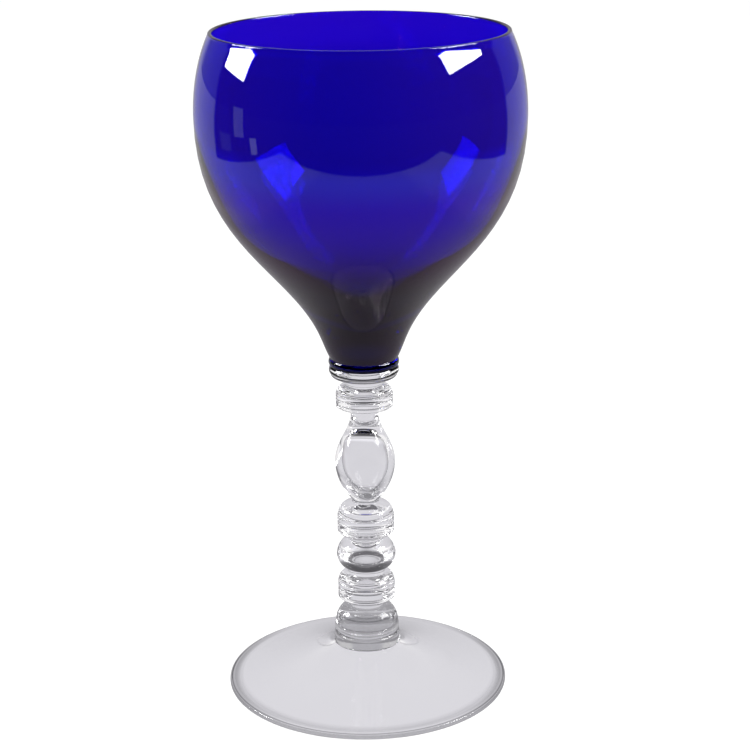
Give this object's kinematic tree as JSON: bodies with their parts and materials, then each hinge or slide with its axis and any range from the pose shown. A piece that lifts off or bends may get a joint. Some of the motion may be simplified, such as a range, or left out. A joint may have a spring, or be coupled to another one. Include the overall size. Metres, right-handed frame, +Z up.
{
  "type": "glass water goblet",
  "caption": "Large water goblet with a cobalt blue glass bowl on a tall clear stem of ringed discs and knops, over a wide clear foot.",
  "frame": {"origin": "centre of the flat ring that the foot stands on, at table level", "axes": "+Z up along the axis of the stem and bowl; the goblet is round about it, so +X and +Y are alike"},
  "size_m": [0.0998, 0.0998, 0.2096],
  "materials": {
    "cobalt_glass": "fire polished, transparent cobalt blue",
    "clear_glass": "fire polished, clear"
  },
  "bodies": {
    "root": {"bowl": "cobalt_glass", "bowl_collar": "clear_glass", "upper_ringed_disc": "clear_glass", "egg_knop": "clear_glass", "middle_ringed_disc": "clear_glass", "ball_knop": "clear_glass", "lower_ringed_disc": "clear_glass", "base_knop": "clear_glass", "foot_collar": "clear_glass", "foot": "clear_glass"}
  },
  "joints": []
}
